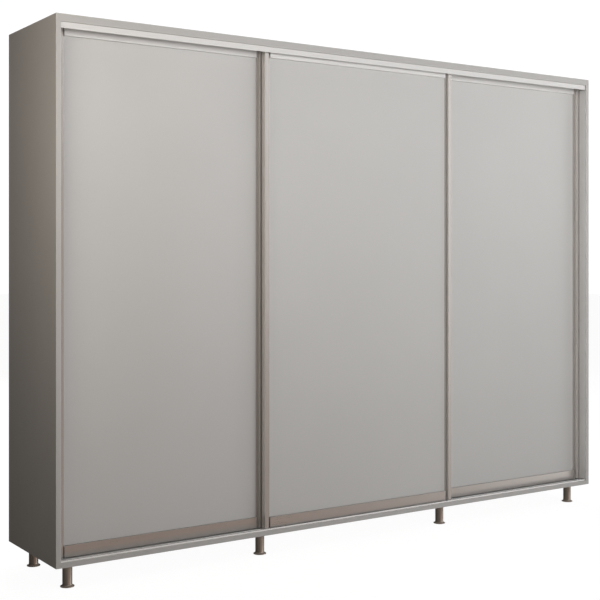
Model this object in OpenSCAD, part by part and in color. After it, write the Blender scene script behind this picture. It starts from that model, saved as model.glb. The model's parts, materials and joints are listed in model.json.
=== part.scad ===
// Sliding door wardrobe with three doors on a double track.
// Millimetres, +Z up. Origin on the floor, below the middle of the carcass.
// X is the width, -Y is the front, Z is the height.

/* [Carcass] */
// Overall width
total_w = 3200; // [2600:10:3600]
// Overall depth
total_d = 560; // [520:5:680]
// Overall height above the floor
total_h = 2400; // [2000:10:2600]
// Thickness of the sides, top, bottom and partitions
board = 22; // [18:1:28]
// Thickness of the shelves
shelf_t = 18; // [16:1:25]
// Thickness of the back sheets
back_t = 4; // [3:1:8]
// Depth of the rebate that takes a back sheet, measured into the board
rebate = 10; // [6:1:12]
// How far the front edge of the top reaches down over the track
top_edge_drop = 10; // [4:1:16]
// Distance from the middle of the carcass to the middle of a partition
partition_x = 555; // [450:5:650]

/* [Interior] */
// Height of the underside of the two hat shelves
hat_shelf_z = 1985; // [1700:5:2100]
// Height of the middle of the clothes rails
hanging_z = 1925; // [1600:5:2050]
// Outer diameter of a clothes rail
hanging_d = 25; // [20:1:32]
// Diameter of a rail socket
socket_d = 46; // [38:1:60]
// Diameter of a shelf pin
pin_d = 5; // [4:0.5:7]
// Length of a shelf pin
pin_l = 22; // [16:1:30]
// Gap at the ends and the front of each adjustable shelf
shelf_gap = 1; // [0.5:0.5:3]

/* [Doors] */
// Width of the middle door
middle_door_w = 1146; // [950:2:1300]
// How far a side door reaches behind the middle door
door_overlap = 13; // [8:1:40]
// Gap between a closed side door and the side panel
door_side_gap = 2; // [1:0.5:5]
// How far the left door stands from closed at rest
left_door_rest = 5; // [0:1:20]
// How far the middle door stands right of the middle at rest
middle_door_rest = 6; // [-20:1:20]
// Distance from the carcass front to the front of the middle door
door_setback = 18; // [12:1:30]
// Depth of a door stile
stile_depth = 30; // [26:1:40]
// Gap between the middle door and the side doors
door_gap = 4; // [3:0.5:8]
// Height of the underside of the doors above the bottom panel
door_lift = 4.6; // [4:0.2:12]
// Gap between the top of the doors and the top panel
door_headroom = 12; // [10:0.5:20]
// Width of the raised front of a stile
stile_face = 20; // [16:1:30]
// Width of the lips that hold the panel
lip_w = 13; // [6:1:16]
// Wall of the door profiles
wall = 1.6; // [1.2:0.1:2.5]
// Distance from the stile front to the panel face
panel_inset = 16.5; // [10:0.5:17]
// Thickness of a door panel
panel_t = 10; // [6:1:10]
// Height of the bottom rail
bottom_rail_h = 49; // [42:1:70]
// Height of the top rail
top_rail_h = 44; // [30:1:70]
// Depth of the finger groove in the outer side of a stile
grip_depth = 1.5; // [0.5:0.5:6]
// Width of the finger groove
grip_w = 9; // [6:1:14]

/* [Tracks] */
// Height of the front fascia of the top track
fascia_h = 36; // [28:1:50]
// Thickness of the strips that line the sides in front of the doors
reveal_t = 1; // [0.6:0.1:1.5]
// Thickness of the track walls
track_t = 1.6; // [1.2:0.1:2.5]
// Height of the front and rear lips of the bottom track
lip_h = 6.4; // [4:0.2:8]
// Width of a running rib
rib_w = 4; // [3:0.5:6]
// Height of a running rib above the track floor
rib_h = 2.4; // [2:0.2:4]

/* [Rollers] */
// Outer diameter of a roller
wheel_d = 28; // [26:1:28]
// Width of a roller
wheel_w = 11; // [8:0.5:12]
// Running radius, at the bottom of the groove
wheel_run_r = 12.5; // [9:0.1:14]
// Diameter of a roller axle
axle_d = 6; // [4:0.5:8]
// Distance from the end of a rail to the middle of its carriage
carriage_in = 50; // [40:1:120]

/* [Legs] */
// Height of the legs, floor to bottom panel
leg_h = 103; // [60:1:160]
// Diameter of the leg tube
leg_d = 42; // [30:1:60]
// Diameter of the flared base
base_d = 60; // [45:1:80]
// Distance from a carcass side to the middle of the outer legs
leg_in_x = 85; // [60:5:200]
// Distance from the carcass front and back to the middle of the legs
leg_in_y = 85; // [60:5:150]
// Diameter of a levelling glide
glide_d = 34; // [24:1:40]
// Diameter of a glide stem
stem_d = 10; // [6:1:12]

/* [Hidden] */
$fn = 48;
// Ends cut a little past a surface, so that openings stay clean
cut = 1;
// Clearance between parts that move past each other
run_gap = 0.3;
// Clearance of a shaft in its bore
fit = 0.05;
// Carcass edges
side_x = total_w / 2;
inner_x = side_x - board;
front_y = -total_d / 2;
top_edge_t = 6;
back_y = total_d / 2;
floor_z = leg_h + board;
ceiling_z = total_h - board;
// The back sheets stand a little in from the carcass back
back_inset = 2;
back_face_y = back_y - back_inset - back_t;
rebate_y = back_inset + back_t;
back_sheet_gap = 1;
// Doors
middle_front_y = front_y + door_setback;
side_front_y = middle_front_y + stile_depth + door_gap;
door_z = floor_z + door_lift;
door_top_z = ceiling_z - door_headroom;
door_h = door_top_z - door_z;
side_door_in_x = middle_door_w / 2 - door_overlap;
side_door_w = inner_x - door_side_gap - side_door_in_x;
side_door_x = side_door_in_x + side_door_w / 2;
left_door_at = [-side_door_x + left_door_rest, side_front_y, door_z];
middle_door_at = [middle_door_rest, middle_front_y, door_z];
right_door_at = [side_door_x, side_front_y, door_z];
// Door profiles
stile_w = stile_face + lip_w;
panel_back = panel_inset + panel_t;
rail_front = 8;
rail_bevel = 1;
panel_play = 1;
grip_from = 4;
slot_depth = 10;
rail_middle_y = (rail_front + stile_depth) / 2;
// Tracks
track_front_y = front_y + 8;
track_back_y = side_front_y + stile_depth + 12;
track_floor_z = floor_z + track_t;
fascia_y = front_y + top_edge_t;
front_flange_y = middle_front_y - track_t - 1.4;
flange_h = door_headroom - 2;
rib_top_z = track_floor_z + rib_h;
middle_flange_y = side_front_y - door_gap / 2 - track_t / 2;
channel_w = middle_flange_y - front_flange_y - track_t;
rear_flange_y = middle_flange_y + track_t + channel_w;
interior_y = track_back_y + 2;
// Rollers: the groove wraps the round top of the rib
wheel_z = rib_top_z + run_gap + wheel_run_r - door_z;
groove_r = rib_w / 2 + run_gap;
hub_d = 18;
hub_recess = 2;
cheek_t = 3;
cheek_gap = 0.5;
carriage_l = 64;
carriage_w = 2 * (wheel_w / 2 + cheek_gap + cheek_t);
carriage_from = 3;
carriage_top = bottom_rail_h - slot_depth - wall;
guide_l = 50;
guide_h = 8;
// Legs
leg_wall = 2;
rim_h = 3;
flare_r = (base_d - leg_d) / 2;
plate_w = 70;
plate_t = 3;
nut_from = 16;
nut_h = 14;
glide_t = 5;
glide_gap = 1;
stem_l = 55;
leg_xs = [-side_x + leg_in_x, -partition_x, partition_x, side_x - leg_in_x];
leg_ys = [front_y + leg_in_y, back_y - leg_in_y];
// Shelves
shelf_count = 4;
shelf_pitch = (ceiling_z - floor_z) / (shelf_count + 1);
shelf_front_y = interior_y + 12;
shelf_d = back_face_y - shelf_front_y - shelf_gap;
bay_w = 2 * (partition_x - board / 2);
pin_in_y = 60;
pin_depth = 11;
pin_step = 32;
pin_ys = [shelf_front_y + pin_in_y, back_face_y - pin_in_y];
// Clothes rails
hanging_y = (interior_y + back_face_y) / 2;
hanging_wall = 1.5;
socket_l = 16;
socket_t = 4;
socket_ring = 3;
side_bay_x = (inner_x + partition_x + board / 2) / 2;
side_bay_w = inner_x - partition_x - board / 2;
// Screws
screw_d = 3.5;
screw_l = 16;
head_d = 7;
head_t = 1.6;
track_screw_y = 8.5;
leg_screw_x = 27;
track_screw_xs = [for (i = [-3 : 3]) i * (inner_x - 60) / 3];
// Strips that line the sides between the carcass front and the side doors
reveal_from_y = front_y + 2;
reveal_to_y = side_front_y - 2;
// Bumpers
bumper_d = 12;
bumper_gap = 0.5;
bumper_zs = [door_z + 300, door_top_z - 300];
bumper_y = stile_depth - 7;
// Colours
board_colour = [0.66, 0.65, 0.64];
panel_colour = [0.72, 0.71, 0.70];
frame_colour = [0.70, 0.66, 0.62];
metal_colour = [0.62, 0.56, 0.50];
steel_colour = [0.75, 0.75, 0.76];
dark_colour = [0.16, 0.16, 0.17];

// Every sub-part of the wardrobe

// A box from one corner to the opposite corner
module box(from, to) {
    translate(from)
        cube([to[0] - from[0], to[1] - from[1], to[2] - from[2]]);
}

// A section drawn in Y and Z, drawn out along X between two ends
module along_x(from, to) {
    translate([from, 0, 0])
        rotate([90, 0, 90])
            linear_extrude(to - from)
                children();
}

// A rectangle between two corners
module area(from, to) {
    translate(from)
        square([to[0] - from[0], to[1] - from[1]]);
}

// ---------- Carcass ----------

module side_panel() {
    difference() {
        box([inner_x, front_y, leg_h], [side_x, back_y, total_h]);
        box([inner_x - cut, back_y - rebate_y, leg_h + board - rebate],
            [inner_x + rebate, back_y + cut, ceiling_z + rebate]);
    }
}

module side_panel_left() {
    color(board_colour)
        mirror([1, 0, 0])
            side_panel();
}

module side_panel_right() {
    color(board_colour)
        side_panel();
}

// Track screws and their holes stand at the same places
module at_track_screws(z) {
    for (x = track_screw_xs, y = [middle_front_y, side_front_y])
        translate([x, y + track_screw_y, z])
            children();
}

module at_leg_screws() {
    for (x = leg_xs, y = leg_ys, a = [-1, 1], b = [-1, 1])
        translate([x + a * leg_screw_x, y + b * leg_screw_x, leg_h - plate_t])
            children();
}

module top_panel() {
    color(board_colour)
        difference() {
            union() {
                box([-inner_x, front_y, ceiling_z], [inner_x, back_y, total_h]);
                box([-inner_x, front_y, ceiling_z - top_edge_drop],
                    [inner_x, front_y + top_edge_t, ceiling_z]);
            }
            box([-inner_x - cut, back_y - rebate_y, ceiling_z - cut],
                [inner_x + cut, back_y + cut, ceiling_z + rebate]);
            at_track_screws(ceiling_z - cut)
                cylinder(d = screw_d, h = screw_l - track_t + cut);
        }
}

module bottom_panel() {
    color(board_colour)
        difference() {
            box([-inner_x, front_y, leg_h], [inner_x, back_y, floor_z]);
            box([-inner_x - cut, back_y - rebate_y, floor_z - rebate],
                [inner_x + cut, back_y + cut, floor_z + cut]);
            at_track_screws(floor_z - screw_l + track_t)
                cylinder(d = screw_d, h = screw_l);
            at_leg_screws()
                cylinder(d = screw_d, h = screw_l);
        }
}

// Holes on the bay side of a partition, three heights for each shelf pin
module pin_holes() {
    for (i = [1 : shelf_count], y = pin_ys, k = [-1 : 1])
        translate([bay_w / 2, y, floor_z + i * shelf_pitch - pin_d / 2 + k * pin_step])
            rotate([0, 90, 0])
                cylinder(d = pin_d, h = pin_depth);
}

module partition() {
    difference() {
        box([bay_w / 2, interior_y, floor_z], [bay_w / 2 + board, back_face_y, ceiling_z]);
        pin_holes();
    }
}

module partition_left() {
    color(board_colour)
        mirror([1, 0, 0])
            partition();
}

module partition_right() {
    color(board_colour)
        partition();
}

module back_sheet(from, to) {
    color(panel_colour)
        box([from, back_face_y, floor_z - rebate], [to, back_face_y + back_t, ceiling_z + rebate]);
}

module back_sheet_left() {
    back_sheet(-inner_x - rebate, -partition_x - back_sheet_gap / 2);
}

module back_sheet_middle() {
    back_sheet(-partition_x + back_sheet_gap / 2, partition_x - back_sheet_gap / 2);
}

module back_sheet_right() {
    back_sheet(partition_x + back_sheet_gap / 2, inner_x + rebate);
}

// ---------- Interior ----------

module hat_shelf() {
    color(board_colour)
        box([-side_bay_w / 2, shelf_front_y, hat_shelf_z],
            [side_bay_w / 2, back_face_y, hat_shelf_z + shelf_t]);
}

module hat_shelf_left() {
    translate([-side_bay_x, 0, 0])
        hat_shelf();
}

module hat_shelf_right() {
    translate([side_bay_x, 0, 0])
        hat_shelf();
}

module shelf(i) {
    color(board_colour)
        translate([0, shelf_front_y, floor_z + i * shelf_pitch])
            box([-bay_w / 2 + shelf_gap, 0, 0], [bay_w / 2 - shelf_gap, shelf_d, shelf_t]);
}

module shelf_1() {
    shelf(1);
}

module shelf_2() {
    shelf(2);
}

module shelf_3() {
    shelf(3);
}

module shelf_4() {
    shelf(4);
}

module shelf_pins() {
    color(steel_colour)
        for (i = [1 : shelf_count], y = pin_ys, s = [-1, 1])
            translate([s * (bay_w / 2 + pin_depth), y, floor_z + i * shelf_pitch - pin_d / 2])
                rotate([0, -s * 90, 0])
                    cylinder(d = pin_d, h = pin_l);
}

module hanging_rail() {
    color(steel_colour)
        translate([-side_bay_w / 2 + socket_t, hanging_y, hanging_z])
            rotate([0, 90, 0])
                difference() {
                    cylinder(d = hanging_d, h = side_bay_w - 2 * socket_t);
                    translate([0, 0, -cut])
                        cylinder(d = hanging_d - 2 * hanging_wall, h = side_bay_w);
                }
}

module hanging_rail_left() {
    translate([-side_bay_x, 0, 0])
        hanging_rail();
}

module hanging_rail_right() {
    translate([side_bay_x, 0, 0])
        hanging_rail();
}

// A disc with a ring that holds the end of a clothes rail
module rail_socket() {
    rotate([0, 90, 0])
        difference() {
            union() {
                cylinder(d = socket_d, h = socket_t);
                cylinder(d = hanging_d + 2 * (fit + socket_ring), h = socket_l);
            }
            translate([0, 0, socket_t])
                cylinder(d = hanging_d + 2 * fit, h = socket_l);
        }
}

module rail_flanges() {
    color(steel_colour)
        for (bay = [-1, 1], end = [0, 1])
            translate([bay * side_bay_x, hanging_y, hanging_z])
                mirror([end, 0, 0])
                    translate([-side_bay_w / 2, 0, 0])
                        rail_socket();
}

// ---------- Tracks ----------

module top_track() {
    color(frame_colour)
        difference() {
            along_x(-inner_x, inner_x) {
                area([fascia_y, ceiling_z - track_t], [rear_flange_y + track_t, ceiling_z]);
                area([fascia_y, ceiling_z - fascia_h], [fascia_y + track_t, ceiling_z]);
                area([front_flange_y, ceiling_z - flange_h], [front_flange_y + track_t, ceiling_z]);
                area([middle_flange_y, ceiling_z - flange_h], [middle_flange_y + track_t, ceiling_z]);
                area([rear_flange_y, ceiling_z - flange_h], [rear_flange_y + track_t, ceiling_z]);
            }
            at_track_screws(ceiling_z - track_t - cut)
                cylinder(d = screw_d, h = track_t + 2 * cut);
        }
}

// A running rib with a round top
module rib(y) {
    area([y - rib_w / 2, floor_z], [y + rib_w / 2, rib_top_z - rib_w / 2]);
    translate([y, rib_top_z - rib_w / 2])
        circle(d = rib_w);
}

module bottom_track() {
    color(frame_colour)
        difference() {
            along_x(-inner_x, inner_x) {
                area([track_front_y, floor_z], [track_back_y, track_floor_z]);
                area([track_front_y, floor_z], [track_front_y + track_t, floor_z + lip_h]);
                area([track_back_y - track_t, floor_z], [track_back_y, floor_z + lip_h]);
                rib(middle_front_y + rail_middle_y);
                rib(side_front_y + rail_middle_y);
            }
            at_track_screws(floor_z - cut)
                cylinder(d = screw_d, h = track_t + 2 * cut);
        }
}

module screw() {
    cylinder(d = screw_d, h = screw_l);
    translate([0, 0, -head_t])
        cylinder(d = head_d, h = head_t);
}

module screws() {
    color(steel_colour) {
        at_track_screws(ceiling_z - track_t)
            screw();
        at_track_screws(track_floor_z)
            mirror([0, 0, 1])
                screw();
        at_leg_screws()
            screw();
    }
}

module bumper(t) {
    rotate([0, 90, 0])
        cylinder(d = bumper_d, h = t);
}

module door_bumpers() {
    color(dark_colour)
        for (s = [0, 1], z = bumper_zs)
            mirror([s, 0, 0])
                translate([-inner_x, side_front_y + bumper_y, z])
                    bumper(door_side_gap - bumper_gap);
}

// Strips that line the inner faces of the sides in front of the doors
module side_profiles() {
    color(frame_colour)
        for (s = [0, 1])
            mirror([s, 0, 0])
                box([inner_x - reveal_t, reveal_from_y, floor_z + lip_h + 1],
                    [inner_x, reveal_to_y, ceiling_z - fascia_h - 1]);
}

// ---------- Legs and glides ----------

// Half of the leg section: tube, flared base and the insert that takes the glide stem
module leg_section() {
    difference() {
        union() {
            square([leg_d / 2, leg_h - plate_t]);
            square([base_d / 2, rim_h]);
            translate([leg_d / 2, rim_h])
                difference() {
                    square(flare_r);
                    translate([flare_r, flare_r])
                        circle(r = flare_r);
                }
        }
        area([0, -cut], [glide_d / 2 + glide_gap, nut_from]);
        area([0, nut_from + nut_h], [leg_d / 2 - leg_wall, leg_h]);
        area([0, -cut], [stem_d / 2 + fit, leg_h]);
    }
}

module leg() {
    rotate_extrude()
        leg_section();
    difference() {
        box([-plate_w / 2, -plate_w / 2, leg_h - plate_t], [plate_w / 2, plate_w / 2, leg_h]);
        for (a = [-1, 1], b = [-1, 1])
            translate([a * leg_screw_x, b * leg_screw_x, leg_h - plate_t - cut])
                cylinder(d = screw_d, h = plate_t + 2 * cut);
    }
}

module legs() {
    color(metal_colour)
        for (x = leg_xs, y = leg_ys)
            translate([x, y, 0])
                leg();
}

module glide(i, row) {
    color(dark_colour)
        translate([leg_xs[i], leg_ys[row], 0]) {
            cylinder(d = glide_d, h = glide_t);
            cylinder(d = stem_d, h = stem_l);
        }
}

module glide_front_1() {
    glide(0, 0);
}

module glide_front_2() {
    glide(1, 0);
}

module glide_front_3() {
    glide(2, 0);
}

module glide_front_4() {
    glide(3, 0);
}

module glide_rear_1() {
    glide(0, 1);
}

module glide_rear_2() {
    glide(1, 1);
}

module glide_rear_3() {
    glide(2, 1);
}

module glide_rear_4() {
    glide(3, 1);
}

// ---------- Door parts, each drawn for a door whose front bottom middle is the origin ----------

// Hollow stile: raised front, finger groove in the outer side, slot for the panel on the other
module stile_section() {
    difference() {
        union() {
            square([stile_face, stile_depth]);
            area([stile_face - wall, panel_inset - wall], [stile_w, panel_inset]);
            area([stile_face - wall, panel_back], [stile_w, panel_back + wall]);
        }
        area([-cut, grip_from], [grip_depth, grip_from + grip_w]);
        area([grip_depth + wall, wall], [stile_face - wall, stile_depth - wall]);
        area([wall, grip_from + grip_w + wall], [stile_face - wall, stile_depth - wall]);
    }
}

module stile(w) {
    color(frame_colour)
        translate([-w / 2, 0, 0])
            linear_extrude(door_h)
                stile_section();
}

module other_stile(w) {
    mirror([1, 0, 0])
        stile(w);
}

module panel(w) {
    color(panel_colour)
        box([-w / 2 + stile_face + panel_play, panel_inset, bottom_rail_h - slot_depth + panel_play],
            [w / 2 - stile_face - panel_play, panel_back, door_h - top_rail_h + slot_depth - panel_play]);
}

// Bottom rail: closed front, open underside, slot for the panel on top
module bottom_rail_section() {
    h = bottom_rail_h;
    floor_h = h - slot_depth;
    difference() {
        union() {
            area([rail_front, 0], [rail_front + wall, h]);
            area([rail_front, h - wall], [panel_inset, h]);
            area([panel_inset - wall, floor_h - wall], [panel_inset, h]);
            area([rail_front, floor_h - wall], [stile_depth, floor_h]);
            area([panel_back, floor_h - wall], [panel_back + wall, h]);
            area([stile_depth - wall, 0], [stile_depth, floor_h]);
        }
        translate([rail_front, h])
            rotate(45)
                square(rail_bevel, center = true);
    }
}

// Top rail: closed top for the guides, slot for the panel below
module top_rail_section() {
    h = top_rail_h;
    difference() {
        union() {
            area([rail_front, 0], [rail_front + wall, h]);
            area([rail_front, 0], [panel_inset, wall]);
            area([panel_inset - wall, 0], [panel_inset, slot_depth + wall]);
            area([rail_front, slot_depth], [stile_depth, slot_depth + wall]);
            area([panel_back, 0], [panel_back + wall, slot_depth + wall]);
            area([stile_depth - wall, slot_depth], [stile_depth, h]);
            area([rail_front, h - wall], [stile_depth, h]);
        }
        translate([rail_front, 0])
            rotate(45)
                square(rail_bevel, center = true);
    }
}

module bottom_rail(w) {
    color(frame_colour)
        along_x(-w / 2 + stile_w, w / 2 - stile_w)
            bottom_rail_section();
}

module top_rail(w) {
    color(frame_colour)
        translate([0, 0, door_h - top_rail_h])
            along_x(-w / 2 + stile_w, w / 2 - stile_w)
                top_rail_section();
}

// Nylon shoes on the top rail, guided between the track flanges
module guides(w, y0) {
    middle = -y0 + channel_middle(y0);
    color(dark_colour)
        for (s = [-1, 1])
            translate([s * (w / 2 - stile_w - carriage_in), middle, door_h])
                box([-guide_l / 2, -channel_w / 2 + run_gap, 0],
                    [guide_l / 2, channel_w / 2 - run_gap, guide_h]);
}

// Middle of the track channel above a door
function channel_middle(y0) =
    (y0 == middle_front_y ? front_flange_y : middle_flange_y) + track_t + channel_w / 2;

module carriage() {
    difference() {
        box([-carriage_l / 2, -carriage_w / 2, carriage_from],
            [carriage_l / 2, carriage_w / 2, carriage_top]);
        box([-wheel_d / 2 - 2, -wheel_w / 2 - cheek_gap, carriage_from - cut],
            [wheel_d / 2 + 2, wheel_w / 2 + cheek_gap, wheel_z + wheel_d / 2 + 2]);
    }
    translate([0, carriage_w / 2, wheel_z])
        rotate([90, 0, 0])
            cylinder(d = axle_d, h = carriage_w);
}

module at_carriage(w, s) {
    translate([s * (w / 2 - stile_w - carriage_in), rail_middle_y, 0])
        children();
}

module carriages(w) {
    color(steel_colour)
        for (s = [-1, 1])
            at_carriage(w, s)
                carriage();
}

// Half of the roller section, with the groove that rides on the rib
module wheel_section() {
    difference() {
        area([axle_d / 2 + fit, -wheel_w / 2], [wheel_d / 2, wheel_w / 2]);
        translate([wheel_run_r + groove_r, 0])
            circle(r = groove_r);
        for (s = [0, 1])
            mirror([0, s])
                area([axle_d / 2 + 2, wheel_w / 2 - hub_recess], [hub_d / 2, wheel_w / 2 + cut]);
    }
}

module wheel(w, s) {
    color(dark_colour)
        at_carriage(w, s)
            translate([0, 0, wheel_z])
                rotate([90, 0, 0])
                    rotate_extrude()
                        wheel_section();
}

// ---------- Left door ----------

module left_door_panel() {
    translate(left_door_at)
        panel(side_door_w);
}

module left_door_stile_left() {
    translate(left_door_at)
        stile(side_door_w);
}

module left_door_stile_right() {
    translate(left_door_at)
        other_stile(side_door_w);
}

module left_door_top_rail() {
    translate(left_door_at)
        top_rail(side_door_w);
}

module left_door_bottom_rail() {
    translate(left_door_at)
        bottom_rail(side_door_w);
}

module left_door_guides() {
    translate(left_door_at)
        guides(side_door_w, side_front_y);
}

module left_door_carriages() {
    translate(left_door_at)
        carriages(side_door_w);
}

module left_door_wheel_left() {
    translate(left_door_at)
        wheel(side_door_w, -1);
}

module left_door_wheel_right() {
    translate(left_door_at)
        wheel(side_door_w, 1);
}

// ---------- Middle door ----------

module middle_door_panel() {
    translate(middle_door_at)
        panel(middle_door_w);
}

module middle_door_stile_left() {
    translate(middle_door_at)
        stile(middle_door_w);
}

module middle_door_stile_right() {
    translate(middle_door_at)
        other_stile(middle_door_w);
}

module middle_door_top_rail() {
    translate(middle_door_at)
        top_rail(middle_door_w);
}

module middle_door_bottom_rail() {
    translate(middle_door_at)
        bottom_rail(middle_door_w);
}

module middle_door_guides() {
    translate(middle_door_at)
        guides(middle_door_w, middle_front_y);
}

module middle_door_carriages() {
    translate(middle_door_at)
        carriages(middle_door_w);
}

module middle_door_wheel_left() {
    translate(middle_door_at)
        wheel(middle_door_w, -1);
}

module middle_door_wheel_right() {
    translate(middle_door_at)
        wheel(middle_door_w, 1);
}

// ---------- Right door ----------

module right_door_panel() {
    translate(right_door_at)
        panel(side_door_w);
}

module right_door_stile_left() {
    translate(right_door_at)
        stile(side_door_w);
}

module right_door_stile_right() {
    translate(right_door_at)
        other_stile(side_door_w);
}

module right_door_top_rail() {
    translate(right_door_at)
        top_rail(side_door_w);
}

module right_door_bottom_rail() {
    translate(right_door_at)
        bottom_rail(side_door_w);
}

module right_door_guides() {
    translate(right_door_at)
        guides(side_door_w, side_front_y);
}

module right_door_carriages() {
    translate(right_door_at)
        carriages(side_door_w);
}

module right_door_wheel_left() {
    translate(right_door_at)
        wheel(side_door_w, -1);
}

module right_door_wheel_right() {
    translate(right_door_at)
        wheel(side_door_w, 1);
}

side_panel_left();
side_panel_right();
top_panel();
bottom_panel();
partition_left();
partition_right();
back_sheet_left();
back_sheet_middle();
back_sheet_right();
hat_shelf_left();
hat_shelf_right();
shelf_1();
shelf_2();
shelf_3();
shelf_4();
shelf_pins();
hanging_rail_left();
hanging_rail_right();
rail_flanges();
top_track();
bottom_track();
side_profiles();
door_bumpers();
legs();
screws();
glide_front_1();
glide_front_2();
glide_front_3();
glide_front_4();
glide_rear_1();
glide_rear_2();
glide_rear_3();
glide_rear_4();
left_door_panel();
left_door_stile_left();
left_door_stile_right();
left_door_top_rail();
left_door_bottom_rail();
left_door_guides();
left_door_carriages();
left_door_wheel_left();
left_door_wheel_right();
middle_door_panel();
middle_door_stile_left();
middle_door_stile_right();
middle_door_top_rail();
middle_door_bottom_rail();
middle_door_guides();
middle_door_carriages();
middle_door_wheel_left();
middle_door_wheel_right();
right_door_panel();
right_door_stile_left();
right_door_stile_right();
right_door_top_rail();
right_door_bottom_rail();
right_door_guides();
right_door_carriages();
right_door_wheel_left();
right_door_wheel_right();
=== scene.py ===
import json
import math

import bmesh
import bpy
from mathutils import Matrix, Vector

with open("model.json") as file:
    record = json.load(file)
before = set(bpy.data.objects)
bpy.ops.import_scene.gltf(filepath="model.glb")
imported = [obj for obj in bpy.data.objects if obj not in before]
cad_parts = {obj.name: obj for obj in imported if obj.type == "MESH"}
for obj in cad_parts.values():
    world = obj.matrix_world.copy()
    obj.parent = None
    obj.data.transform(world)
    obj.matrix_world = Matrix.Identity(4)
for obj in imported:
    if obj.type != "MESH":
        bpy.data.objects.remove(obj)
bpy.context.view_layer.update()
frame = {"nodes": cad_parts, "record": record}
record = frame["record"]
nodes = frame["nodes"]
scene = bpy.context.scene


# ---------- Material helpers ----------

def new_material(name):
    """An empty material with one shader wired to its output."""
    mat = bpy.data.materials.new(name)
    mat.use_nodes = True
    tree = mat.node_tree
    tree.nodes.clear()
    out = tree.nodes.new("ShaderNodeOutputMaterial")
    shader = tree.nodes.new("ShaderNodeBsdfPrincipled")
    tree.links.new(shader.outputs["BSDF"], out.inputs["Surface"])
    return mat, tree, shader


def coords(tree, scale):
    """Object coordinates, stretched per axis."""
    where = tree.nodes.new("ShaderNodeTexCoord")
    mapping = tree.nodes.new("ShaderNodeMapping")
    mapping.inputs["Scale"].default_value = scale
    tree.links.new(where.outputs["Object"], mapping.inputs["Vector"])
    return mapping.outputs["Vector"]


def noise(tree, vector, scale, detail=2.0, rough=0.5):
    node = tree.nodes.new("ShaderNodeTexNoise")
    node.inputs["Scale"].default_value = scale
    node.inputs["Detail"].default_value = detail
    node.inputs["Roughness"].default_value = rough
    tree.links.new(vector, node.inputs["Vector"])
    return node.outputs["Fac"]


def spread(tree, value, low, high, from_low=0.3, from_high=0.7):
    """A noise value brought to a new range."""
    node = tree.nodes.new("ShaderNodeMapRange")
    node.inputs["From Min"].default_value = from_low
    node.inputs["From Max"].default_value = from_high
    node.inputs["To Min"].default_value = low
    node.inputs["To Max"].default_value = high
    tree.links.new(value, node.inputs["Value"])
    return node.outputs["Result"]


def blend_colours(tree, value, one, two):
    node = tree.nodes.new("ShaderNodeMix")
    node.data_type = "RGBA"
    node.inputs["A"].default_value = (*one, 1)
    node.inputs["B"].default_value = (*two, 1)
    tree.links.new(value, node.inputs["Factor"])
    return node.outputs["Result"]


def bump(tree, shader, height, strength, distance, after=None):
    node = tree.nodes.new("ShaderNodeBump")
    node.inputs["Strength"].default_value = strength
    node.inputs["Distance"].default_value = distance
    tree.links.new(height, node.inputs["Height"])
    if after is not None:
        tree.links.new(after, node.inputs["Normal"])
    tree.links.new(node.outputs["Normal"], shader.inputs["Normal"])
    return node.outputs["Normal"]


def shade(colour, factor):
    """A colour made lighter or darker, held at 1."""
    return tuple(min(1.0, c * factor) for c in colour)


def coated_board(name, colour, roughness, pearl):
    """Melamine or lacquer on board: faint clouding, a fine pearl texture and uneven gloss."""
    mat, tree, shader = new_material(name)
    at = coords(tree, (1, 1, 1))
    clouds = spread(tree, noise(tree, at, 2.3, 3), 0, 1)
    flecks = spread(tree, noise(tree, at, 260, 3, 0.6), 0, 1)
    tone = tree.nodes.new("ShaderNodeMix")
    tone.inputs["Factor"].default_value = 0.4
    tree.links.new(clouds, tone.inputs["A"])
    tree.links.new(flecks, tone.inputs["B"])
    tree.links.new(
        blend_colours(tree, tone.outputs["Result"], shade(colour, 0.975), shade(colour, 1.02)),
        shader.inputs["Base Color"])
    tree.links.new(
        spread(tree, noise(tree, at, 14, 4), roughness - 0.04, roughness + 0.05),
        shader.inputs["Roughness"])
    fine = bump(tree, shader, noise(tree, at, 620, 3, 0.6), 0.25, pearl)
    bump(tree, shader, noise(tree, at, 55, 2), 0.12, pearl * 3, fine)
    return mat


def painted_light_by_facing(tree, axis, value_there, value_else):
    """Painted light and shade by face direction: one value on faces that look up (Z) or sideways
    (X), another on the rest.
    """
    geometry = tree.nodes.new("ShaderNodeNewGeometry")
    split = tree.nodes.new("ShaderNodeSeparateXYZ")
    tree.links.new(geometry.outputs["True Normal"], split.inputs[0])
    amount = split.outputs[axis]
    if axis == "X":
        size = tree.nodes.new("ShaderNodeMath")
        size.operation = "ABSOLUTE"
        tree.links.new(amount, size.inputs[0])
        amount = size.outputs[0]
    return spread(tree, amount, value_else, value_there, 0.55, 0.85)


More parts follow.
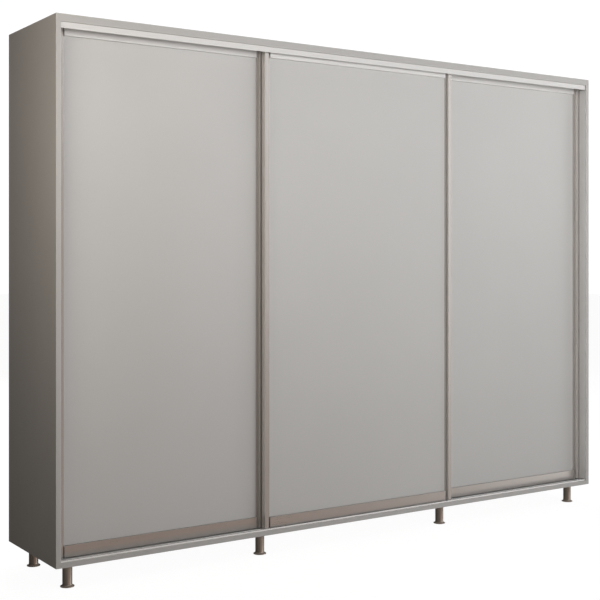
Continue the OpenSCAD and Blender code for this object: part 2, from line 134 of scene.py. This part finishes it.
def drawn_metal(name, colour, roughness, along, line_scale=900, metallic=1.0, painted_light_tones=None):
    """Anodised or plated metal with faint lines along its length."""
    mat, tree, shader = new_material(name)
    shader.inputs["Metallic"].default_value = metallic
    stretch = [1.0, 1.0, 1.0]
    stretch[along] = 0.004
    lines = noise(tree, coords(tree, stretch), line_scale, 2, 0.55)
    clouds = noise(tree, coords(tree, (1, 1, 1)), 6, 3)
    metal_colour = blend_colours(
        tree, spread(tree, lines, 0, 1), shade(colour, 0.988), shade(colour, 1.01))
    # Painted light and shade: the colour is scaled by the way each face points
    if painted_light_tones:
        painted_tone_scale = tree.nodes.new("ShaderNodeVectorMath")
        painted_tone_scale.operation = "SCALE"
        tree.links.new(metal_colour, painted_tone_scale.inputs[0])
        tree.links.new(painted_light_by_facing(tree, *painted_light_tones), painted_tone_scale.inputs["Scale"])
        metal_colour = painted_tone_scale.outputs[0]
    tree.links.new(metal_colour, shader.inputs["Base Color"])
    mix = tree.nodes.new("ShaderNodeMix")
    mix.inputs["Factor"].default_value = 0.5
    tree.links.new(lines, mix.inputs["A"])
    tree.links.new(clouds, mix.inputs["B"])
    tree.links.new(
        spread(tree, mix.outputs["Result"], roughness - 0.008, roughness + 0.01),
        shader.inputs["Roughness"])
    fine = bump(tree, shader, lines, 0.008, 0.00003)
    bump(tree, shader, noise(tree, coords(tree, (1, 1, 1)), 1100, 2), 0.012, 0.00002, fine)
    return mat


def moulded(name, colour, roughness, grain=0.0004):
    """Moulded plastic or rubber with a fine spark-eroded grain."""
    mat, tree, shader = new_material(name)
    at = coords(tree, (1, 1, 1))
    mottling = spread(tree, noise(tree, at, 30, 3), 0, 1)
    tree.links.new(
        blend_colours(tree, mottling, shade(colour, 0.85), shade(colour, 1.15)),
        shader.inputs["Base Color"])
    tree.links.new(
        spread(tree, noise(tree, at, 90, 3), roughness - 0.06, roughness + 0.06),
        shader.inputs["Roughness"])
    bump(tree, shader, noise(tree, at, 1400, 2), 0.3, grain)
    return mat


# ---------- Materials ----------

BOARD = (0.46, 0.452, 0.44)
PANEL = (0.535, 0.53, 0.52)
ALU = (0.79, 0.755, 0.725)
TRACK = (0.72, 0.715, 0.705)
LEG = (0.76, 0.67, 0.585)
STEEL = (0.72, 0.72, 0.73)
NYLON = (0.62, 0.61, 0.58)
BLACK_PLASTIC = (0.035, 0.035, 0.037)
GLIDE_BLACK = (0.03, 0.03, 0.03)
RUBBER = (0.16, 0.16, 0.16)

# The axis along which a metal's faint lines run
ALONG_X = 0
ALONG_Z = 2

# Painted light and shade by the way a face points: the axis, the factor on faces along it, the
# factor on the rest
# Painted light on the side faces of the uprights, painted shade on their front faces
FLANKS_PAINTED_LIGHT = ("X", 1.24, 0.9)
# Painted shade on faces that look up, in place of a reflection of the ceiling
LEDGES_PAINTED_SHADE = ("Z", 0.4, 1.0)
# Stronger painted shade on the up-facing floor of the bottom track's grooves
LOW_LEDGES_PAINTED_SHADE = ("Z", 0.3, 1.0)

TRACK_ROUGHNESS = 0.42
TRACK_METALLIC = 0.2
# The bottom track's metal is the track metal painted lighter: painted light
LOW_TRACK_PAINTED_LIGHT = shade(TRACK, 1.3)
# The side profiles' metal is the track metal painted lighter: painted light
SIDE_STRIP_PAINTED_LIGHT = shade(TRACK, 1.32)

board = coated_board("carcass_melamine", BOARD, 0.46, 0.00025)
back_board = coated_board("back_sheet_lacquer", shade(BOARD, 1.05), 0.6, 0.0004)
lacquer = coated_board("door_lacquer", PANEL, 0.38, 0.00012)
# Metals given face tones carry painted light and shade by the way each face points
alu_up = drawn_metal("anodised_upright", ALU, 0.24, ALONG_Z, metallic=0.64, painted_light_tones=FLANKS_PAINTED_LIGHT)
alu_across = drawn_metal("anodised_across", ALU, 0.28, ALONG_X, metallic=0.8, painted_light_tones=LEDGES_PAINTED_SHADE)
alu_track = drawn_metal(
    "silver_track", TRACK, TRACK_ROUGHNESS, ALONG_X, metallic=TRACK_METALLIC, painted_light_tones=LEDGES_PAINTED_SHADE)
alu_low_track_painted_light = drawn_metal(
    "silver_low_track_painted_light", LOW_TRACK_PAINTED_LIGHT, TRACK_ROUGHNESS, ALONG_X,
    metallic=TRACK_METALLIC, painted_light_tones=LOW_LEDGES_PAINTED_SHADE)
alu_side_painted_light = drawn_metal("silver_upright_painted_light", SIDE_STRIP_PAINTED_LIGHT, TRACK_ROUGHNESS, ALONG_Z, metallic=0.1)
leg_metal = drawn_metal("satin_nickel", LEG, 0.36, ALONG_Z, 700, metallic=0.8)
steel = drawn_metal("plated_steel", STEEL, 0.22, ALONG_X, 600)
nylon = moulded("guide_nylon", NYLON, 0.45)
black_plastic = moulded("roller_plastic", BLACK_PLASTIC, 0.4)
glide_plastic = moulded("glide_plastic", GLIDE_BLACK, 0.5)
rubber = moulded("bumper_rubber", RUBBER, 0.7, 0.0006)

SLOT_MATERIALS = {
    "carcass_board": board,
    "back_sheet": back_board,
    "door_panel": lacquer,
    "leg_metal": leg_metal,
    "bright_steel": steel,
    "guide_nylon": nylon,
    "roller_plastic": black_plastic,
    "glide_plastic": glide_plastic,
    "bumper_rubber": rubber,
}


def look_of(node, slot):
    """The material of a node, by its name where profiles of one slot differ, some as lighter copies
    with painted light.
    """
    # The bottom track gets the lighter copy of the track metal, with painted light
    if node == "bottom_track":
        return alu_low_track_painted_light
    if node.endswith("_track") or node.endswith("_top_rail"):
        return alu_track
    # The side profiles get the lighter copy of the track metal, with painted light
    if node == "side_profiles":
        return alu_side_painted_light
    if slot == "frame_aluminium":
        return alu_up if "stile" in node else alu_across
    return SLOT_MATERIALS[slot]


for part in record["subparts"]:
    piece = nodes[part["node"]]
    material = look_of(part["node"], part["material_slot"])
    for place in piece.material_slots:
        place.material = material


# ---------- Edges of the CAD pieces ----------

EDGE_ROUND = {
    "carcass_board": 0.0010,
    "door_panel": 0.0006,
    "frame_aluminium": 0.0004,
    "leg_metal": 0.0006,
    "bright_steel": 0.0003,
    "guide_nylon": 0.0008,
}


def round_edges(piece, width):
    """A small bevel on the sharp edges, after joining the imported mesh's doubled points."""
    weld = piece.modifiers.new("weld", "WELD")
    weld.merge_threshold = 0.00001
    bevel = piece.modifiers.new("edges", "BEVEL")
    bevel.width = width
    bevel.segments = 2
    bevel.limit_method = "ANGLE"
    bevel.angle_limit = math.radians(40)
    bevel.harden_normals = True


for part in record["subparts"]:
    width = EDGE_ROUND.get(part["material_slot"])
    if width:
        round_edges(nodes[part["node"]], width)


# ---------- Studio ----------

def emission_material(name, strength):
    """A white glow, with its node tree, glow and output."""
    mat = bpy.data.materials.new(name)
    mat.use_nodes = True
    tree = mat.node_tree
    tree.nodes.clear()
    out = tree.nodes.new("ShaderNodeOutputMaterial")
    glow = tree.nodes.new("ShaderNodeEmission")
    glow.inputs["Color"].default_value = (1, 1, 1, 1)
    glow.inputs["Strength"].default_value = strength
    tree.links.new(glow.outputs["Emission"], out.inputs["Surface"])
    return mat, tree, glow, out


def camera_only(piece):
    """Hidden from light and reflections."""
    piece.visible_diffuse = False
    piece.visible_glossy = False
    piece.visible_transmission = False
    piece.visible_shadow = False


def stage_mesh(name, build, material):
    """A piece of the studio that only the camera sees."""
    mesh = bpy.data.meshes.new(name)
    shape = bmesh.new()
    build(shape)
    shape.to_mesh(mesh)
    shape.free()
    piece = bpy.data.objects.new(name, mesh)
    scene.collection.objects.link(piece)
    mesh.materials.append(material)
    camera_only(piece)
    return piece


BACKDROP_RADIUS = 45
FLOOR_RADIUS = 40
BACKDROP_GLOW = 1.05
FLOOR_GLOW = 0.96
FLOOR_GREY = 0.08


def backdrop_shape(shape):
    bmesh.ops.create_icosphere(shape, subdivisions=4, radius=BACKDROP_RADIUS)


def floor_shape(shape):
    bmesh.ops.create_circle(shape, cap_ends=True, segments=64, radius=FLOOR_RADIUS)


backdrop_look, _, _, _ = emission_material("backdrop_white", BACKDROP_GLOW)
stage_mesh("backdrop", backdrop_shape, backdrop_look)

# The floor glows softly and takes a faint shadow
floor_look, floor_tree, floor_glow, floor_out = emission_material("floor_white", FLOOR_GLOW)
floor_matte = floor_tree.nodes.new("ShaderNodeBsdfDiffuse")
floor_matte.inputs["Color"].default_value = (FLOOR_GREY, FLOOR_GREY, FLOOR_GREY, 1)
floor_sum = floor_tree.nodes.new("ShaderNodeAddShader")
floor_tree.links.new(floor_glow.outputs["Emission"], floor_sum.inputs[0])
floor_tree.links.new(floor_matte.outputs["BSDF"], floor_sum.inputs[1])
floor_tree.links.new(floor_sum.outputs["Shader"], floor_out.inputs["Surface"])
stage_mesh("floor", floor_shape, floor_look)


# A pale room, bright above and to the sides, warm and dim towards the floor and dim on the left
def ramp_of(tree, value, low, high, stops):
    """Colour stops over a range of a value."""
    place = spread(tree, value, 0, 1, low, high)
    node = tree.nodes.new("ShaderNodeValToRGB")
    bar = node.color_ramp
    for end, (where, colour) in ((0, stops[0]), (1, stops[-1])):
        bar.elements[end].position = (where - low) / (high - low)
        bar.elements[end].color = (*colour, 1)
    for where, colour in stops[1:-1]:
        stop = bar.elements.new((where - low) / (high - low))
        stop.color = (*colour, 1)
    tree.links.new(place, node.inputs["Fac"])
    return node.outputs["Color"]


def maths(tree, operation, one, two):
    """A maths node on two values or outputs."""
    node = tree.nodes.new("ShaderNodeMath")
    node.operation = operation
    for place, value in ((0, one), (1, two)):
        if isinstance(value, (int, float)):
            node.inputs[place].default_value = value
        else:
            tree.links.new(value, node.inputs[place])
    return node.outputs[0]


def smooth(tree, value, low, high):
    """0 below low, 1 above high, eased between."""
    node = tree.nodes.new("ShaderNodeMapRange")
    node.interpolation_type = "SMOOTHSTEP"
    node.inputs["From Min"].default_value = low
    node.inputs["From Max"].default_value = high
    tree.links.new(value, node.inputs["Value"])
    return node.outputs["Result"]


def room_light(tree, colour, amount, strength, label):
    """A part of the room's light, shown where the amount is high."""
    glow = tree.nodes.new("ShaderNodeBackground")
    glow.label = label
    glow.inputs["Strength"].default_value = 0
    if isinstance(colour, tuple):
        glow.inputs["Color"].default_value = (*colour, 1)
    else:
        tree.links.new(colour, glow.inputs["Color"])
    tree.links.new(maths(tree, "MULTIPLY", amount, strength), glow.inputs["Strength"])
    return glow.outputs["Background"]


def add_up(tree, one, two):
    """Two lights or shaders together."""
    node = tree.nodes.new("ShaderNodeAddShader")
    tree.links.new(one, node.inputs[0])
    tree.links.new(two, node.inputs[1])
    return node.outputs[0]


SKY_SIDE_PULL = 1.7
SKY_SIDE_FROM = 0.53
BAND_LIGHT = 0.85
BAND_LEFT_LIGHT = 0.05
UPPER_LIGHT = 0.04
LOWER_LIGHT = 0.03
GROUND_LIGHT = 0.25

world = bpy.data.worlds.new("studio")
scene.world = world
world.use_nodes = True
sky = world.node_tree
sky.nodes.clear()
sky_out = sky.nodes.new("ShaderNodeOutputWorld")
sky_where = sky.nodes.new("ShaderNodeTexCoord")
sky_split = sky.nodes.new("ShaderNodeSeparateXYZ")
sky.links.new(sky_where.outputs["Generated"], sky_split.inputs[0])
sky_x, sky_y, sky_z = (sky_split.outputs[k] for k in "XYZ")

# The band in front of the wardrobe that its metal profiles reflect
sideways = maths(sky, "MAXIMUM", sky_x, maths(sky, "MULTIPLY", sky_x, -1.0))
lean = maths(sky, "MULTIPLY", maths(sky, "SUBTRACT", sideways, SKY_SIDE_FROM), SKY_SIDE_PULL)
room = ramp_of(sky, maths(sky, "ADD", lean, sky_z), -0.6, 0.6, (
    (-0.50, (0.23, 0.155, 0.115)), (-0.12, (0.21, 0.135, 0.10)), (0.02, (0.27, 0.20, 0.17)),
    (0.06, (0.42, 0.39, 0.37)), (0.10, (0.64, 0.62, 0.60)), (0.16, (0.96, 0.95, 0.94)),
    (0.40, (1.0, 1.0, 1.0))))
ceiling = ramp_of(sky, sky_z, 0.0, 0.5, (
    (0.0, (0, 0, 0)), (0.11, (0.0, 0.0, 0.0)), (0.19, (0.84, 0.84, 0.84)), (0.45, (0.8, 0.8, 0.8))))
sky_both = sky.nodes.new("ShaderNodeMix")
sky_both.data_type = "RGBA"
sky_both.blend_type = "LIGHTEN"
sky_both.inputs["Factor"].default_value = 1
sky.links.new(room, sky_both.inputs["A"])
sky.links.new(ceiling, sky_both.inputs["B"])
in_front = maths(sky, "SUBTRACT", 1, smooth(sky, sky_y, -0.45, -0.15))
not_high = maths(sky, "SUBTRACT", 1, smooth(sky, sky_z, 0.27, 0.42))
not_low = smooth(sky, sky_z, -0.50, -0.38)
band = maths(sky, "MULTIPLY", in_front, maths(sky, "MULTIPLY", not_high, not_low))
outside = maths(sky, "SUBTRACT", 1, band)
above = smooth(sky, sky_z, -0.05, 0.30)
below = maths(sky, "SUBTRACT", 1, above)
under = maths(sky, "SUBTRACT", 1, smooth(sky, sky_z, -0.65, -0.50))
on_left = maths(sky, "SUBTRACT", 1, smooth(sky, sky_x, -0.35, -0.10))
band_left = maths(sky, "MULTIPLY", band, on_left)
band_right = maths(sky, "SUBTRACT", band, band_left)
lights_of_room = (
    room_light(sky, sky_both.outputs["Result"], band_right, BAND_LIGHT, "band"),
    room_light(sky, sky_both.outputs["Result"], band_left, BAND_LEFT_LIGHT, "band_left"),
    room_light(sky, (1, 1, 1), maths(sky, "MULTIPLY", outside, above), UPPER_LIGHT, "upper"),
    room_light(sky, (1.0, 0.84, 0.70), maths(sky, "MULTIPLY", outside, below), LOWER_LIGHT, "lower"),
    room_light(sky, (1.0, 0.97, 0.94), under, GROUND_LIGHT, "ground"))
total = lights_of_room[0]
for light_part in lights_of_room[1:]:
    total = add_up(sky, total, light_part)
sky.links.new(total, sky_out.inputs["Surface"])


WARM = (1, 0.9, 0.79)


def soft_light(name, place, target, size, power, colour=(1, 1, 1)):
    """A soft box in watts, aimed at a target, that neither camera nor reflections show."""
    data = bpy.data.lights.new(name, "AREA")
    data.shape = "RECTANGLE"
    data.size, data.size_y = size
    data.energy = power
    data.color = colour
    lamp = bpy.data.objects.new(name, data)
    scene.collection.objects.link(lamp)
    lamp.location = place
    lamp.rotation_euler = (Vector(target) - Vector(place)).to_track_quat("-Z", "Y").to_euler()
    lamp.visible_glossy = False
    lamp.visible_camera = False


soft_light("front", (1.5, -4.2, 1.4), (0.9, -0.25, 1.3), (2, 1.5), 66)
soft_light("front_left", (-1.3, -3.8, 1.9), (0.2, -0.25, 1.4), (1.2, 1.2), 3)
soft_light("front_top", (0.5, -3.4, 2.75), (0.3, -0.25, 1.4), (1.5, 1.0), 14.8)
for number, (across, power) in enumerate(((-1.35, 4.2), (-0.4, 3.6), (1.5, 5.2)), 1):
    soft_light(f"near_top_{number}", (across, -1.7, 2.45), (across, -0.25, 1.9), (1.0, 0.5), power)
soft_light("right", (4.2, -1.8, 2.6), (0.5, -0.25, 1.6), (1.5, 1.5), 22.5)
soft_light("left_side", (-2.6, -1.0, 2.5), (-1.6, -0.2, 1.8), (0.8, 0.6), 11.2, WARM)
soft_light("left_low", (-2.2, -0.7, 1.3), (-1.6, -0.2, 1.0), (0.4, 1.6), 1.7, WARM)
soft_light("back", (2.0, 6.5, 4.0), (0.3, 0, 1.2), (4, 3), 310)
soft_light("above", (0.2, 1.6, 5.2), (0.1, 0.1, 2.4), (3, 2), 95)

# ---------- Camera ----------

LENS_MM = 67.957
SENSOR_MM = 36
SHIFT_X = 0.0163
SHIFT_Y = -0.0696
FAR_CLIP = 200
CAMERA_PLACE = (-3.3835, -4.7031, 1.3866)
CAMERA_TURN = -33.647

camera_data = bpy.data.cameras.new("camera")
camera_data.lens = LENS_MM
camera_data.sensor_width = SENSOR_MM
camera_data.shift_x = SHIFT_X
camera_data.shift_y = SHIFT_Y
camera_data.clip_end = FAR_CLIP
camera = bpy.data.objects.new("camera", camera_data)
scene.collection.objects.link(camera)
camera.location = CAMERA_PLACE
camera.rotation_euler = (math.radians(90), 0, math.radians(CAMERA_TURN))
scene.camera = camera

scene.view_settings.view_transform = "Standard"
